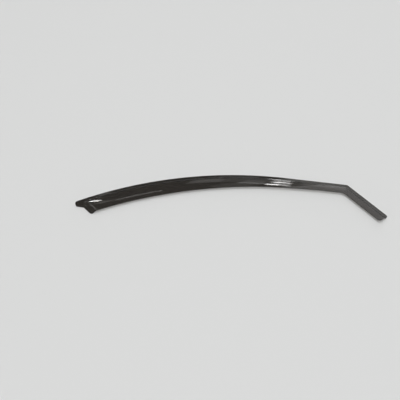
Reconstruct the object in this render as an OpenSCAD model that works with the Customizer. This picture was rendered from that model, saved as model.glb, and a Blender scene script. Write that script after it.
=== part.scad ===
// Window rain deflector: one thermoformed and trimmed sheet, lying outer side up.
// The insert flange lies flat on Z = 0, a joggle lifts the visor off it, and the visor's
// face is crowned down to its free edge. X runs along the length and the tail is at -X.

/* [Outer edge] */
// Length of the straight leg, from the kink to its tip
leg_l = 159; // [120:1:220]
// Turn of the outer edge at the kink, in degrees
kink_angle = 41.7; // [20:0.1:60]
// Corner radius of the outer edge at the kink
kink_outer_r = 5; // [2:0.5:12]
// Length of the straight run between the kink and the bow
front_l = 196; // [150:1:280]
// Radius of the bowed outer edge
bow_r = 1199; // [700:1:3000]
// Length of the bow, from the front run to the tip of the tail tab
bow_l = 686; // [600:1:800]
// Heading of the front run against the X axis, in degrees
front_heading = 5; // [0:0.5:12]

/* [Free edge] */
// Width over all of the leg and the front run
leg_w = 39.2; // [34:0.1:52]
// Width over all of the rear half
tail_w = 62; // [54:0.5:80]
// Distance behind the kink at which the band starts to widen
taper_start = 83; // [75:1:120]
// Length over which the band widens
taper_l = 621; // [400:1:660]
// Power that eases the start of the widening
taper_ease = 1.1; // [1:0.05:2]
// Corner radius of the free edge at the kink
kink_inner_r = 30; // [10:1:36]

/* [Section] */
// Thickness of the sheet
sheet_t = 3; // [2:0.1:4]
// Flat width of the insert flange
flange_w = 10; // [7:0.5:14]
// Height of the joggle, from the flange up to the start of the visor's face
step_h = 8.5; // [6:0.1:12]
// Steepest slope of the joggle, in degrees
joggle_angle = 60; // [45:1:70]
// Radius of the joggle's two bends, at the middle of the sheet
bend_r = 3.5; // [2.6:0.1:4.5]
// Radius of the crowned face
face_r = 200; // [140:1:600]
// Slope at which the face leaves the joggle, in degrees
face_rise = 5; // [0:0.5:9]

/* [Tail] */
// Width of the tab at its tip
tab_w = 17; // [15:0.5:24]
// Corner radius of the tab on the outer edge
tab_outer_r = 9; // [4:0.5:11]
// Corner radius of the tab on the notch side
tab_inner_r = 6; // [3:0.5:9]
// Slant of the tab's notch side against a square cut, in degrees
notch_angle = 57; // [50:1:62]
// Fillet radius at the bottom of the notch
notch_r = 6; // [3:0.5:9]
// Distance of the lobe's cut from the tab's tip, along the outer edge
cut_back = 7.8; // [5:0.1:12]
// Slant of the lobe's cut and of the end fold against a square cut, in degrees
cut_angle = 22.3; // [12:0.1:28]
// Corner radius of the lobe
lobe_r = 8; // [4:0.5:10]
// Flat land between the cut and the foot of the end fold
fold_land = 8; // [7.5:0.5:12]
// Run of the end fold, from its foot up to the crease
fold_run = 12; // [9:0.5:20]
// Plan radius at which the foot of the joggle turns into the foot of the end fold
fold_corner_r = 14; // [10:0.5:20]

/* [Leg end] */
// Corner radius of the flange at the leg's tip
tip_r = 5; // [2:0.5:8]
// Corner radius of the visor at the leg's tip
leg_corner_r = 9; // [4:0.5:12]
// Slant of the visor's end against a square cut, in degrees
leg_slant = 6; // [0:0.5:12]

/* [Smoothness] */
// Largest distance between two sections along the bow
section_gap = 19; // [14:1:30]

/* [Hidden] */

// Slant of the mitre line at the kink, on each side of it
mitre = tan(kink_angle / 2);
front_turn = 180 - front_heading;
leg_turn = front_turn - kink_angle;
tip_s = front_l + bow_l;
cut_k = tan(cut_angle);
notch_k = tan(notch_angle);

// Across the band: the joggle's straight wall and the place where the face starts
wall_l = (step_h - bend_r * (1 + cos(face_rise) - 2 * cos(joggle_angle))) / sin(joggle_angle);
wall_start = flange_w + bend_r * sin(joggle_angle);
wall_end = wall_start + wall_l * cos(joggle_angle);
face_start = wall_end + bend_r * (sin(joggle_angle) - sin(face_rise));
mid_z = sheet_t / 2;
face_z = mid_z + step_h;
flange_shares = [0, 0.08, 0.25, 0.5, 1];
bend_shares = [1 / 3, 2 / 3, 1];
face_crowding = 1.6;

// Points round the tab's outer corner, its inner corner, the notch and the lobe. The section
// has as many points as this outline, and those that the flange and joggle leave are the face's
outline_points = [6, 5, 5, 7];
face_points = outline_points * [1, 1, 1, 1] - len(flange_shares) - 2 * len(bend_shares) - 1;

// Along the band: where the slanted sections start beside the kink and before the tail
kink_s = kink_outer_r * mitre;
kink_k = mitre * (1 + (kink_inner_r - kink_outer_r) / leg_w);
fan_l = taper_start - 10;
foot_s = tip_s - cut_back - fold_land;
crease_s = foot_s - fold_run;
swing_s = taper_start + taper_l;
leg_land = 4;
leg_square = leg_l - leg_corner_r - (leg_w - flange_w) * tan(leg_slant) - leg_land;
kink_steps = 5;
leg_steps = 7;
fan_steps = 5;
fold_steps = 6;
swing_steps = max(2, ceil((crease_s - swing_s) / section_gap));
run_steps = max(2, ceil((front_l - fan_l) / section_gap));
bow_steps = max(4, ceil((swing_s - front_l) / section_gap));

function mix(a, b, share) = a + (b - a) * share;

function unit(v) = v / norm(v);

function along(heading) = [cos(heading), sin(heading)];

function inward(heading) = [-sin(heading), cos(heading)];

// Setback of a rounded corner at a distance from the edge that it runs into
function setback(distance, r) = distance >= r ? 0 : r - sqrt(r * r - pow(r - distance, 2));

// Rise from 0 to 1 that is half a straight ramp and half an eased one
function ramp(share) = mix(share, share * share * (3 - 2 * share), 0.5);

// Heading of the outer edge at the distance s behind the kink; s is negative on the leg
function heading(s) =
    s < 0 ? leg_turn : front_turn + max(0, s - front_l) / bow_r * 180 / PI;

// Point of the outer edge at the distance s behind the kink
function edge(s) =
    s < 0 ? s * along(leg_turn)
    : s < front_l ? s * along(front_turn)
    : front_l * along(front_turn) + bow_r * (inward(front_turn) - inward(heading(s)));

// Point of the plan at s along the outer edge and d inward from it
function place(s, d) = edge(s) + d * inward(heading(s));

// Width of the band over all at s
function width(s) =
    mix(leg_w, tail_w, pow(sin(90 * max(0, min(1, (s - taper_start) / taper_l))), taper_ease));

// Middle of the sheet across a band of width w: pairs of distance inward and height
function flange_line() = [for (share = flange_shares) [share * flange_w, mid_z]];

function lower_bend() = [
    for (share = bend_shares)
        let (a = share * joggle_angle)
            [flange_w + bend_r * sin(a), mid_z + bend_r * (1 - cos(a))]
];

function upper_bend() = [
    for (share = concat([0], bend_shares))
        let (a = mix(joggle_angle, face_rise, share))
            [
                wall_end + bend_r * (sin(joggle_angle) - sin(a)),
                face_z - bend_r * (cos(face_rise) - cos(a))
            ]
];

function face_line(w) = [
    for (i = [1:face_points])
        let (
            x = (w - face_start) * (1 - pow(1 - i / face_points, face_crowding)),
            a = asin(sin(face_rise) - x / face_r)
        )
            [face_start + x, face_z + face_r * (cos(a) - cos(face_rise))]
];

function section(w) = concat(flange_line(), lower_bend(), upper_bend(), face_line(w));

// Row of points across the band: the section starts at s and slants back by k for each
// millimetre inward. Round the end fold's corner it also turns back on the radius corner_r,
// and lift scales its height above the flange
function row(s, k, corner_r = 0, lift = 1) = [
    for (q = section(width(s)))
        let (
            back = setback(max(0, q[0] - flange_w), corner_r),
            p = place(s - k * q[0] - back, q[0])
        )
            [p[0], p[1], mix(mid_z, q[1], lift)]
];

// Row across the kink: each line of the section turns the corner on its own radius
function kink_row(share) =
    let (
        turned = leg_turn + kink_angle * share,
        half_turn = leg_turn + kink_angle / 2
    )
        [
            for (q = section(leg_w))
                let (
                    r = mix(kink_outer_r, kink_inner_r, q[0] / leg_w),
                    centre = inward(half_turn) * (q[0] + r) / cos(kink_angle / 2),
                    p = centre - r * inward(turned)
                )
                    [p[0], p[1], q[1]]
        ];

// Row near the leg's end: share 0 is square across and share 1 is the trimmed end
function leg_end_row(share) = [
    for (q = section(leg_w))
        let (
            slant = max(0, q[0] - flange_w) * tan(leg_slant),
            trimmed = leg_l - slant - setback(q[0], tip_r) - setback(leg_w - q[0], leg_corner_r),
            p = place(-mix(leg_square, trimmed, share), q[0])
        )
            [p[0], p[1], q[1]]
];

// Rounded corner of an outline at b, between a and c, as count points
function corner(a, b, c, r, count) =
    let (
        u = unit(a - b),
        v = unit(c - b),
        half = acos(u * v) / 2,
        centre = b + unit(u + v) * r / sin(half),
        first = b + u * r / tan(half) - centre,
        last = b + v * r / tan(half) - centre,
        turn = 180 - 2 * half
    )
        [
            for (i = [0:count - 1])
                let (share = i / (count - 1))
                    centre + (first * sin(turn * (1 - share)) + last * sin(turn * share)) / sin(turn)
        ];

// Trimmed end of the tail: the tab's tip, the notch and the lobe, in s and d
notch_d = (cut_back + notch_k * tab_w) / (notch_k - cut_k);
tab_start = [crease_s, 0];
tab_top = [tip_s, 0];
tab_bottom = [tip_s, tab_w];
notch = [tip_s - cut_back - cut_k * notch_d, notch_d];
lobe = [tip_s - cut_back - cut_k * tail_w, tail_w];
lobe_end = [swing_s, tail_w];
tail_outline = concat(
    corner(tab_start, tab_top, tab_bottom, tab_outer_r, outline_points[0]),
    corner(tab_top, tab_bottom, notch, tab_inner_r, outline_points[1]),
    corner(tab_bottom, notch, lobe, notch_r, outline_points[2]),
    corner(notch, lobe, lobe_end, lobe_r, outline_points[3])
);

function tail_end_row() = [
    for (q = tail_outline)
        let (p = place(q[0], q[1]))
            [p[0], p[1], mid_z]
];

// Middle surface of the sheet, row by row from the leg's tip to the tail
sheet = concat(
    [leg_end_row(1), leg_end_row(0.5)],
    [
        for (i = [0:leg_steps])
            let (share = i / leg_steps)
                row(-mix(leg_square, kink_s, share), kink_k * share * share)
    ],
    [for (i = [1:kink_steps - 1]) kink_row(i / kink_steps)],
    [
        for (i = [0:fan_steps])
            let (share = i / fan_steps)
                row(mix(kink_s, fan_l, share), -kink_k * pow(1 - share, 2))
    ],
    [for (i = [1:run_steps]) row(mix(fan_l, front_l, i / run_steps), 0)],
    [for (i = [1:bow_steps]) row(mix(front_l, swing_s, i / bow_steps), 0)],
    [
        for (i = [1:swing_steps])
            let (share = i / swing_steps)
                row(mix(swing_s, crease_s, share), cut_k * share, fold_corner_r * share)
    ],
    [
        for (i = [1:fold_steps])
            let (share = i / fold_steps)
                row(mix(crease_s, foot_s, share), cut_k, fold_corner_r, ramp(1 - share))
    ],
    [tail_end_row()]
);
rows = len(sheet);
columns = len(sheet[0]);

// Direction square to the sheet at a point of the middle surface
function normal(i, j) =
    unit(cross(
        sheet[min(rows - 1, i + 1)][j] - sheet[max(0, i - 1)][j],
        sheet[i][min(columns - 1, j + 1)] - sheet[i][max(0, j - 1)]
    ));

// The origin lies on the floor, under the middle of the outline
xs = [for (line = sheet, p = line) p[0]];
ys = [for (line = sheet, p = line) p[1]];
origin = [(min(xs) + max(xs)) / 2, (min(ys) + max(ys)) / 2, 0];

function side(offset) = [
    for (i = [0:rows - 1], j = [0:columns - 1])
        sheet[i][j] + offset * normal(i, j) - origin
];

// Two triangles over the corners a, b, c and d, taken clockwise from outside
function pair(a, b, c, d) = [[a, b, c], [a, c, d]];

// Closed shell between the sheet's two sides, with its trimmed edge all the way round
module formed_sheet() {
    layer = rows * columns;
    last_row = (rows - 1) * columns;
    last_column = columns - 1;
    outer_side = [
        for (i = [0:rows - 2], j = [0:columns - 2])
            let (a = i * columns + j)
                each pair(a, a + 1, a + columns + 1, a + columns)
    ];
    inner_side = [for (f = outer_side) [f[0] + layer, f[2] + layer, f[1] + layer]];
    ends = [
        for (j = [0:columns - 2])
            each concat(
                pair(j, j + layer, j + 1 + layer, j + 1),
                pair(last_row + j + 1, last_row + j + 1 + layer, last_row + j + layer, last_row + j)
            )
    ];
    edges = [
        for (i = [0:rows - 2])
            let (a = i * columns, b = i * columns + last_column)
                each concat(
                    pair(a, a + columns, a + columns + layer, a + layer),
                    pair(b, b + layer, b + columns + layer, b + columns)
                )
    ];
    polyhedron(
        points = concat(side(mid_z), side(-mid_z)),
        faces = concat(outer_side, inner_side, ends, edges)
    );
}

module deflector() {
    color([0.2, 0.19, 0.18, 0.8]) formed_sheet();
}

deflector();
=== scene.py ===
import math

import bmesh
import bpy
from mathutils import Matrix, Vector


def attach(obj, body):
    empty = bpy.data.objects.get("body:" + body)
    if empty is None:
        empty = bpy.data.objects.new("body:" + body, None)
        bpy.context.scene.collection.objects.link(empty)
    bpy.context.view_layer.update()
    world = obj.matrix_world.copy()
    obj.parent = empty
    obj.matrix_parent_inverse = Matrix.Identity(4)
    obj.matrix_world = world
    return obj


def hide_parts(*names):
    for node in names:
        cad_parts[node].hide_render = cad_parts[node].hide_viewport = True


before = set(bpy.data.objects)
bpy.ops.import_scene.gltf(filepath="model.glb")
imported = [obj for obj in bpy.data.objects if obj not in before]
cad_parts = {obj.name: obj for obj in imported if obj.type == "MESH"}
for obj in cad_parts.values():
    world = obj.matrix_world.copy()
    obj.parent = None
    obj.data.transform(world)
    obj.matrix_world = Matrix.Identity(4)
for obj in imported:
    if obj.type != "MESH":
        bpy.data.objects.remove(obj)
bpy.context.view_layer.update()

# The deflector's sheet. It is one sheet of smoked clear acrylic, heated and drawn over a tool that
# gives it the insert flange, the joggle, the crowned visor and the folded tail, then routed round.
# Sizes are in millimetres: s runs along the outer edge from the kink, and d inward from that edge.

leg_l = 159
kink_angle = math.radians(41.7)
kink_outer_r = 5
kink_inner_r = 30
front_l = 196
front_heading = math.radians(5)
bow_r = 1199
bow_l = 686
leg_w = 39.2
tail_w = 62
taper_start = 83
taper_l = 621
taper_ease = 1.1
sheet_t = 3
flange_w = 10
step_h = 8.5
joggle_angle = math.radians(60)
bend_r = 3.5
face_r = 200
face_rise = math.radians(5)
tab_w = 17
tab_outer_r = 9
tab_inner_r = 6
notch_angle = math.radians(57)
notch_r = 6
cut_back = 7.8
cut_angle = math.radians(22.3)
lobe_r = 8
fold_land = 8
fold_run = 12
fold_corner_r = 14
tip_r = 5
leg_corner_r = 9
leg_slant = math.radians(6)

# The draw lifts the flange a little towards its outer edge, and leaves its inner edge soft.
flange_rise = math.radians(-2.6)
soft_w = 2
soft_rise = math.radians(8)

# How finely the sheet is divided across. The face's points crowd towards the free edge.
flange_steps = 12
bend_steps = 8
face_steps = 24
face_crowding = 1.6

front_turn = math.pi - front_heading
leg_turn = front_turn - kink_angle
mid_z = sheet_t / 2
face_z = mid_z + step_h
bend_drop = bend_r * (1 + math.cos(face_rise) - 2 * math.cos(joggle_angle))
wall_l = (step_h - bend_drop) / math.sin(joggle_angle)
wall_end = flange_w + bend_r * math.sin(joggle_angle) + wall_l * math.cos(joggle_angle)
face_start = wall_end + bend_r * (math.sin(joggle_angle) - math.sin(face_rise))


def mix(a, b, share):
    return a + (b - a) * share


def shares(count):
    """The shares of a whole at the ends of count equal steps."""
    return [i / count for i in range(1, count + 1)]


def setback(distance, r):
    """How far a corner of radius r stands back at this distance from the edge beside it."""
    return 0 if distance >= r else r - math.sqrt(r * r - (r - distance) ** 2)


def along(heading):
    return Vector((math.cos(heading), math.sin(heading)))


def inward(heading):
    return Vector((-math.sin(heading), math.cos(heading)))


def place(s, d):
    """Point of the plan at s along the outer edge and d inward from it."""
    if s < 0:
        return s * along(leg_turn) + d * inward(leg_turn)
    if s < front_l:
        return s * along(front_turn) + d * inward(front_turn)
    turned = front_turn + (s - front_l) / bow_r
    centre = front_l * along(front_turn) + bow_r * inward(front_turn)
    return centre + (d - bow_r) * inward(turned)


def width(s):
    grown = math.sin(math.pi / 2 * max(0, min(1, (s - taper_start) / taper_l)))
    return mix(leg_w, tail_w, grown**taper_ease)


def section(w):
    """Middle of the sheet across a band of width w, as pairs of distance inward and height."""
    flange = []
    for x in [0] + [flange_w * share for share in shares(flange_steps)]:
        soft = max(0, 1 - (flange_w - x) / soft_w)
        rise = (x - flange_w) * math.tan(flange_rise) + (soft**3 - 1) * soft_rise * soft_w / 3
        flange.append((x, mid_z + rise))
    foot_rise = flange_rise + soft_rise
    foot = [
        (
            flange_w + bend_r * (math.sin(a) - math.sin(foot_rise)),
            mid_z + bend_r * (math.cos(foot_rise) - math.cos(a)),
        )
        for a in (mix(foot_rise, joggle_angle, share) for share in shares(bend_steps))
    ]
    brow = [
        (
            wall_end + bend_r * (math.sin(joggle_angle) - math.sin(a)),
            face_z - bend_r * (math.cos(face_rise) - math.cos(a)),
        )
        for a in (mix(joggle_angle, face_rise, share) for share in [0] + shares(bend_steps))
    ]
    face = []
    for share in shares(face_steps):
        x = (w - face_start) * (1 - (1 - share) ** face_crowding)
        a = math.asin(math.sin(face_rise) - x / face_r)
        face.append((face_start + x, face_z + face_r * (math.cos(a) - math.cos(face_rise))))
    return flange + foot + brow + face


def row(s, slant, corner_r=0, lift=1):
    """Points across the band, slanting back by slant for each millimetre inward."""
    points = []
    for d, z in section(width(s)):
        back = setback(max(0, d - flange_w), corner_r)
        points.append((*place(s - slant * d - back, d), mix(mid_z, z, lift)))
    return points


def kink_row(share):
    """Points across the kink, where each line of the section turns on its own radius."""
    turned = leg_turn + kink_angle * share
    points = []
    for d, z in section(leg_w):
        r = mix(kink_outer_r, kink_inner_r, d / leg_w)
        to_centre = (d + r) / math.cos(kink_angle / 2)
        points.append((*(to_centre * inward(leg_turn + kink_angle / 2) - r * inward(turned)), z))
    return points


# Where the rows change their kind. The rows are square again a little before the widening starts,
# and a little before the corners of the leg's end.
fan_margin = 10
square_margin = 4
mitre = math.tan(kink_angle / 2)
kink_s = kink_outer_r * mitre
kink_slant = mitre * (1 + (kink_inner_r - kink_outer_r) / leg_w)
fan_l = taper_start - fan_margin
tip_s = front_l + bow_l
foot_s = tip_s - cut_back - fold_land
crease_s = foot_s - fold_run
swing_s = taper_start + taper_l
cut_slant = math.tan(cut_angle)
leg_square = leg_l - leg_corner_r - (leg_w - flange_w) * math.tan(leg_slant) - square_margin


def leg_end_row(share):
    """Points near the leg's end: share 0 is square across and share 1 is the trimmed end."""
    points = []
    for d, z in section(leg_w):
        trimmed = leg_l - max(0, d - flange_w) * math.tan(leg_slant)
        trimmed -= setback(d, tip_r) + setback(leg_w - d, leg_corner_r)
        points.append((*place(-mix(leg_square, trimmed, share), d), z))
    return points


def corner(before, at, after, r, count):
    """The rounded corner of an outline at one point, between two others, as count points."""
    u, v = (before - at).normalized(), (after - at).normalized()
    half = u.angle(v) / 2
    centre = at + (u + v).normalized() * r / math.sin(half)
    first, last = at + u * r / math.tan(half) - centre, at + v * r / math.tan(half) - centre
    turn = math.pi - 2 * half
    return [
        centre + (first * math.sin(turn * (1 - t)) + last * math.sin(turn * t)) / math.sin(turn)
        for t in [0] + shares(count - 1)
    ]


def tail_end_row():
    """The tail's trimmed end: the tab's tip, the notch and the lobe, in as many points as a row."""
    notch_k = math.tan(notch_angle)
    notch_d = (cut_back + notch_k * tab_w) / (notch_k - cut_slant)
    outline = [
        Vector((crease_s, 0)),
        Vector((tip_s, 0)),
        Vector((tip_s, tab_w)),
        Vector((tip_s - cut_back - cut_slant * notch_d, notch_d)),
        Vector((tip_s - cut_back - cut_slant * tail_w, tail_w)),
        Vector((swing_s, tail_w)),
    ]
    radii = (tab_outer_r, tab_inner_r, notch_r, lobe_r)
    corner_points = (14, 11, 12, 17)
    rounded = []
    for i, (r, count) in enumerate(zip(radii, corner_points)):
        rounded += corner(*outline[i : i + 3], r, count)
    return [(*place(p.x, p.y), mid_z) for p in rounded]


def eased(share):
    """A rise from 0 to 1 that is half a straight ramp and half an eased one."""
    return mix(share, share * share * (3 - 2 * share), 0.5)


# The rows follow the sheet from the leg's end to the tail's, and the numbers of rows in each run
# follow how fast it bends there.
leg_end_rows, leg_rows, kink_rows, fan_rows, front_rows = 5, 36, 12, 20, 28
bow_rows, swing_rows, fold_rows, tail_end_rows = 120, 44, 18, 8

rows = [leg_end_row(1 - share) for share in [0] + shares(leg_end_rows)]
rows += [row(-mix(leg_square, kink_s, t), kink_slant * t * t) for t in shares(leg_rows)]
rows += [kink_row(t) for t in shares(kink_rows)]
rows += [row(mix(kink_s, fan_l, t), -kink_slant * (1 - t) ** 2) for t in shares(fan_rows)]
rows += [row(mix(fan_l, front_l, t), 0) for t in shares(front_rows)]
rows += [row(mix(front_l, swing_s, t), 0) for t in shares(bow_rows)]
rows += [
    row(mix(swing_s, crease_s, t), cut_slant * t, fold_corner_r * t) for t in shares(swing_rows)
]
rows += [
    row(mix(crease_s, foot_s, t), cut_slant, fold_corner_r, eased(1 - t))
    for t in shares(fold_rows)
]
foot, end = rows[-1], tail_end_row()
rows += [
    [Vector(a).lerp(Vector(b), t) for a, b in zip(foot, end)] for t in shares(tail_end_rows)
]

# A flat grid of quads is drawn onto the rows, as the real sheet is onto its tool, and centred.
mm = 0.001
bm = bmesh.new()
bmesh.ops.create_grid(bm, x_segments=len(end) - 1, y_segments=len(rows) - 1, size=0.5)
for v in bm.verts:
    v.co = rows[round((v.co.y + 0.5) * (len(rows) - 1))][round((v.co.x + 0.5) * (len(end) - 1))]
bmesh.ops.reverse_faces(bm, faces=bm.faces)
reach = [[v.co[axis] for v in bm.verts] for axis in (0, 1)]
middle = Vector([(min(r) + max(r)) / 2 for r in reach] + [0])
bmesh.ops.translate(bm, vec=-middle, verts=bm.verts)
bmesh.ops.scale(bm, vec=(mm, mm, mm), verts=bm.verts)
for face in bm.faces:
    face.smooth = True
mesh = bpy.data.meshes.new("deflector_sheet")
bm.to_mesh(mesh)
bm.free()
deflector_sheet = bpy.data.objects.new("deflector_sheet", mesh)
bpy.context.scene.collection.objects.link(deflector_sheet)

# The sheet gets its thickness and its broken edges, and points that meet there are made one.
edge_break = 0.4
sharp_edge = math.radians(55)
weld_reach = 0.01
wall = deflector_sheet.modifiers.new("sheet thickness", "SOLIDIFY")
wall.thickness = sheet_t * mm
wall.offset = 0
wall.use_even_offset = True
wall.material_offset_rim = 1
broken_edge = deflector_sheet.modifiers.new("broken edges", "BEVEL")
broken_edge.width = edge_break * mm
broken_edge.segments = 2
broken_edge.limit_method = "ANGLE"
broken_edge.angle_limit = sharp_edge
broken_edge.harden_normals = True
welded = deflector_sheet.modifiers.new("welded points", "WELD")
welded.merge_threshold = weld_reach * mm


class Shade:
    """An output of a material's nodes, on which Python's arithmetic adds Math nodes."""

    def __init__(self, tree, socket=None):
        self.tree = tree
        self.socket = socket

    def node(self, kind, settings=None, sockets=None, output=0):
        """Adds a node, with its settings first, then its sockets' values or links."""
        node = self.tree.nodes.new(kind)
        for name, value in (settings or {}).items():
            setattr(node, name, value)
        ins = [socket for socket in node.inputs if socket.enabled]
        outs = [socket for socket in node.outputs if socket.enabled]
        for name, value in (sockets or {}).items():
            into = ins[name] if isinstance(name, int) else next(i for i in ins if i.name == name)
            if isinstance(value, Shade):
                self.tree.links.new(value.socket, into)
            else:
                into.default_value = value
        if isinstance(output, str):
            output = [socket.name for socket in outs].index(output)
        return Shade(self.tree, outs[output] if outs else None)

    def maths(self, operation, a, b):
        return self.node("ShaderNodeMath", {"operation": operation}, {0: a, 1: b})

    def blend(self, share, first, second):
        settings = {"data_type": "RGBA"}
        sockets = {"Factor": share, "A": first, "B": second}
        return self.node("ShaderNodeMix", settings, sockets, output="Result")

    def __add__(self, other):
        return self.maths("ADD", self, other)

    def __radd__(self, other):
        return self.maths("ADD", other, self)

    def __mul__(self, other):
        return self.maths("MULTIPLY", self, other)

    def __rmul__(self, other):
        return self.maths("MULTIPLY", other, self)


acrylic_ior = 1.49


def new_material(name):
    material = bpy.data.materials.new(name)
    material.use_nodes = True
    material.node_tree.nodes.clear()
    return material, Shade(material.node_tree)


def acrylic(name, roughness, bump):
    """Smoked acrylic: glossy faces, and a tint taken once, where light enters the sheet."""
    smoke, untinted = (0.0392, 0.0343, 0.0294, 1), (1, 1, 1, 1)
    smoke_to_lamps, clear_to_lamps = (0.19, 0.178, 0.165, 1), (0.96, 0.96, 0.96, 1)
    material, shade = new_material(name)
    where = shade.node("ShaderNodeTexCoord", output="Object")
    leaving = shade.node("ShaderNodeNewGeometry", output="Backfacing")
    polish = shade.node(
        "ShaderNodeBsdfPrincipled",
        sockets={
            "Base Color": shade.blend(leaving, smoke, untinted),
            "Roughness": roughness(shade, where),
            "IOR": acrylic_ior,
            "Transmission Weight": 1,
            "Normal": bump(shade, where),
        },
    )
    entered = shade.node("ShaderNodeBsdfTransparent", sockets={"Color": smoke_to_lamps})
    left = shade.node("ShaderNodeBsdfTransparent", sockets={"Color": clear_to_lamps})
    through = shade.node("ShaderNodeMixShader", sockets={0: leaving, 1: entered, 2: left})
    lamp_ray = shade.node("ShaderNodeLightPath", output="Is Shadow Ray")
    bounce_ray = shade.node("ShaderNodeLightPath", output="Is Diffuse Ray")
    surface = shade.node("ShaderNodeMixShader", sockets={0: lamp_ray, 1: polish, 2: through})
    surface = shade.node("ShaderNodeMixShader", sockets={0: bounce_ray, 1: surface, 2: through})
    shade.node("ShaderNodeOutputMaterial", sockets={"Surface": surface})
    return material


def polished_roughness(shade, where):
    """A high polish with broad smudges, and the hairlines that wiping leaves along the sheet."""
    polish, smudge_haze, hairline_haze = 0.012, 0.028, 0.05
    smudge = shade.node("ShaderNodeTexNoise", sockets={"Vector": where, "Scale": 9, "Detail": 4})
    stroke = shade.node("ShaderNodeMapping", sockets={"Vector": where, "Scale": (1, 16, 16)})
    wiped = shade.node("ShaderNodeTexNoise", sockets={"Vector": stroke, "Scale": 70, "Detail": 3})
    hairline = shade.node(
        "ShaderNodeMapRange",
        {"interpolation_type": "SMOOTHSTEP"},
        {"Value": wiped, "From Min": 0.58, "From Max": 0.72},
        output="Result",
    )
    return polish + smudge * smudge_haze + hairline * hairline_haze


def polished_bump(shade, where):
    """The slight waviness that drawing leaves in the polished faces."""
    waviness = 0.04 * mm
    drawn = shade.node("ShaderNodeTexNoise", sockets={"Vector": where, "Scale": 22, "Detail": 1})
    sockets = {"Height": drawn, "Strength": 1, "Distance": waviness}
    return shade.node("ShaderNodeBump", sockets=sockets)


def routed_edge():
    """The routed edge: fine cutter marks that scatter the light, so it looks dark and satin."""
    satin, mark_haze, mark_depth = 0.3, 0.25, 0.03 * mm
    material, shade = new_material("routed_edge")
    where = shade.node("ShaderNodeTexCoord", output="Object")
    marks = shade.node("ShaderNodeTexNoise", sockets={"Vector": where, "Scale": 700, "Detail": 2})
    dull = shade.node(
        "ShaderNodeBsdfPrincipled",
        sockets={
            "Base Color": (0.028, 0.026, 0.023, 1),
            "Roughness": satin + marks * mark_haze,
            "IOR": acrylic_ior,
            "Normal": shade.node(
                "ShaderNodeBump", sockets={"Height": marks, "Distance": mark_depth}
            ),
        },
    )
    shade.node("ShaderNodeOutputMaterial", sockets={"Surface": dull})
    return material


mesh.materials.append(acrylic("smoked_acrylic", polished_roughness, polished_bump))
mesh.materials.append(routed_edge())

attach(deflector_sheet, "root")
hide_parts("deflector")

# The ground it lies on: one large card, plain, pale and matt. The deflector lies loose on it, a
# hair above the card, and drops a soft shadow there.

card_reach = 6
card_drop = 0.3 * mm
bm = bmesh.new()
bmesh.ops.create_grid(bm, x_segments=1, y_segments=1, size=card_reach)
bmesh.ops.translate(bm, vec=(0, 0, -card_drop), verts=bm.verts)
ground_mesh = bpy.data.meshes.new("ground")
bm.to_mesh(ground_mesh)
bm.free()
ground = bpy.data.objects.new("ground", ground_mesh)
bpy.context.scene.collection.objects.link(ground)
card, shade = new_material("pale_card")
paper = shade.node(
    "ShaderNodeBsdfPrincipled",
    sockets={"Base Color": (0.74, 0.745, 0.74, 1), "Roughness": 0.9, "Specular IOR Level": 0.1},
)
shade.node("ShaderNodeOutputMaterial", sockets={"Surface": paper})
ground_mesh.materials.append(card)

# The studio: a room that is pale low down and dim above, with lights set by what the glossy sheet
# mirrors of them. Each is a soft panel far off, given by the bearing and height, in degrees, at
# which it is mirrored.

lamp_distance = 12
pale, dim = (0.8, 0.8, 0.8, 1), (0.12, 0.12, 0.12, 1)
dimming_from, dimming_to = 0.06, 0.24

world = bpy.data.worlds.new("studio")
bpy.context.scene.world = world
world.use_nodes = True
world.node_tree.nodes.clear()
sky = Shade(world.node_tree)
looking = sky.node("ShaderNodeTexCoord", output="Generated")
height = sky.node("ShaderNodeSeparateXYZ", sockets={"Vector": looking}, output="Z")
dimming = sky.node(
    "ShaderNodeMapRange",
    {"interpolation_type": "SMOOTHSTEP"},
    {"Value": height, "From Min": dimming_from, "From Max": dimming_to},
    output="Result",
)
room = sky.node("ShaderNodeBackground", sockets={"Color": sky.blend(dimming, pale, dim)})
sky.node("ShaderNodeOutputWorld", sockets={"Surface": room})


def soft_light(name, beside, bearing, rise, across, tall, brightness, lean=0):
    """A panel that the sheet at the place beside mirrors round this bearing and rise.

    Across and tall are the angles that it fills from there, and lean turns it about its middle.
    """
    turn, lift = math.radians(bearing), math.radians(rise)
    lamp = bpy.data.lights.new(name, "AREA")
    lamp.shape = "RECTANGLE"
    lamp.size = 2 * lamp_distance * math.tan(math.radians(across / 2))
    lamp.size_y = 2 * lamp_distance * math.tan(math.radians(tall / 2))
    lamp.energy = brightness * math.pi * lamp.size * lamp.size_y
    light = bpy.data.objects.new(name, lamp)
    level = math.cos(lift)
    outward = Vector((math.sin(turn) * level, math.cos(turn) * level, math.sin(lift)))
    light.location = lamp_distance * outward + Vector(beside)
    leaning = Matrix.Rotation(math.radians(lean), 3, "Z").to_quaternion()
    light.rotation_euler = ((-outward).to_track_quat("-Z", "Y") @ leaning).to_euler()
    light.visible_camera = False
    bpy.context.scene.collection.objects.link(light)


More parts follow.
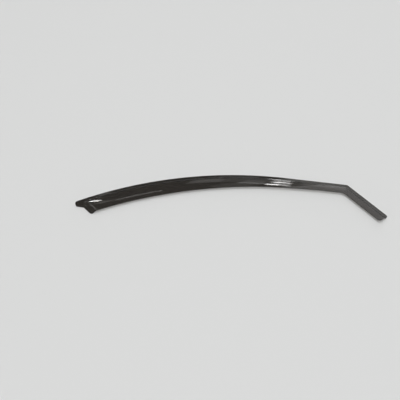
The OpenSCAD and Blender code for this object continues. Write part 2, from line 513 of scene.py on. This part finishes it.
soft_light("overhead_panel", (0, 0, 0), 10, 84, 14, 14, 17)
soft_light("front_panel", (0, 0, 0), 180, 58, 40, 24, 4.25)
soft_light("right_panel", (0.35, 0.03, 0), 29.9, 44.2, 18.6, 28.4, 1.15)
soft_light("right_middle_panel", (0.25, 0.05, 0), 20.4, 41, 7.6, 8, 0.6, 7)
soft_light("right_low_panel", (0.35, 0.03, 0), 19.7, 14, 11.2, 32, 1.9)
soft_light("middle_panel", (-0.06, 0.08, 0), -0.5, 47, 4.6, 7, 0.44)
soft_light("middle_low_panel", (0.05, 0.08, 0), 7, 44.5, 16, 14, 0.3)
soft_light("middle_right_panel", (0.1, 0.08, 0), 8.5, 48.3, 2.8, 6, 0.4)
soft_light("middle_sliver", (0.1, 0.08, 0), 8.4, 52.8, 3.2, 2.2, 1.9)
soft_light("middle_high_panel", (0.1, 0.08, 0), 6.6, 58.5, 4.6, 8, 0.3)
soft_light("tail_window", (-0.41, -0.06, 0), -21.05, 47.9, 0.6, 5.5, 19, 17)
soft_light("tail_panel", (-0.38, -0.05, 0), -18.8, 56, 1.4, 4.6, 0.8, 20)
soft_light("left_panel", (-0.37, -0.03, 0), -45, 62, 12, 18, 3.2)
soft_light("left_sliver", (-0.25, 0.02, 0), -11.8, 59.2, 5.4, 1.8, 1.7)

# A window's panes, which the sheet mirrors as the bright streaks right of its middle.
window_beside = (0.16, 0.07, 0)
panes = [
    (12.97, 46, 2.3, 16, 2.2, 7),
    (11.95, 52.9, 1, 2.4, 15.6, 0),
    (13.25, 52.2, 0.8, 2.2, 15.4, 0),
    (14.6, 51.4, 0.8, 2.2, 3.6, 0),
    (12.4, 46.3, 2.4, 1.1, 14.4, 61),
    (14.1, 45.8, 1, 2.1, 6.2, 0),
    (10.7, 22, 3.2, 30, 8, 0),
]
for number, pane in enumerate(panes):
    soft_light(f"window_pane_{number}", window_beside, *pane)

# The camera stands before the free edge and looks down on the deflector, with a medium lens. It
# is turned a little to the left and rolled by two degrees.

camera = bpy.data.cameras.new("camera")
camera.lens = 45
camera.sensor_width = 36
view = bpy.data.objects.new("camera", camera)
stand = (-0.0845, -0.9427, 1.2621)
heading, pitch, roll = math.radians(0.764), math.radians(53.754), math.radians(2.057)
turn = Matrix.Rotation(heading, 4, "Z") @ Matrix.Rotation(math.pi / 2 - pitch, 4, "X")
view.matrix_world = Matrix.Translation(stand) @ turn @ Matrix.Rotation(roll, 4, "Z")
bpy.context.scene.collection.objects.link(view)
bpy.context.scene.camera = view
bpy.context.scene.view_settings.view_transform = "Standard"
